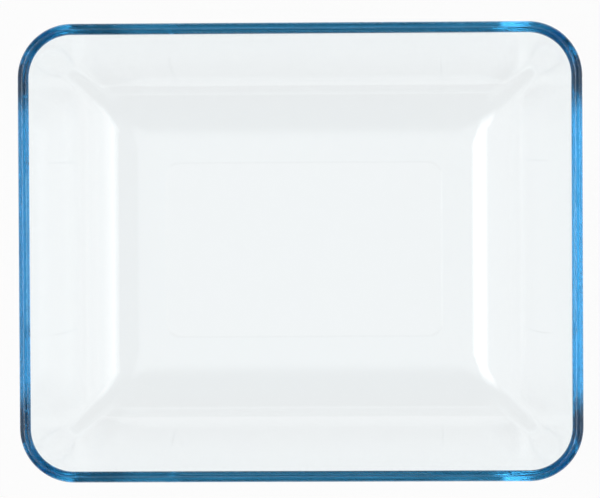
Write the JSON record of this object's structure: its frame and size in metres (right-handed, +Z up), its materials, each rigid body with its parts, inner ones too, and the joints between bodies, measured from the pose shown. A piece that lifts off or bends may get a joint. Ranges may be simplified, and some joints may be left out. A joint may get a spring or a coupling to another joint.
{
  "type": "lasagna dish",
  "caption": "Rectangular clear glass baking dish with curved, flaring walls, rounded corners, a deep heel inside and a rolled bead round its rim.",
  "frame": {"origin": "centre of the dish in plan, on the surface that it stands on", "axes": "+X along the long side, +Y along the short side, +Z up out of the dish"},
  "size_m": [0.28, 0.228, 0.07],
  "materials": {
    "clear_glass": "clear pressed glass, fire-polished, faintly blue where it is looked through lengthwise"
  },
  "bodies": {
    "root": {"glass_dish": "clear_glass"}
  },
  "joints": []
}
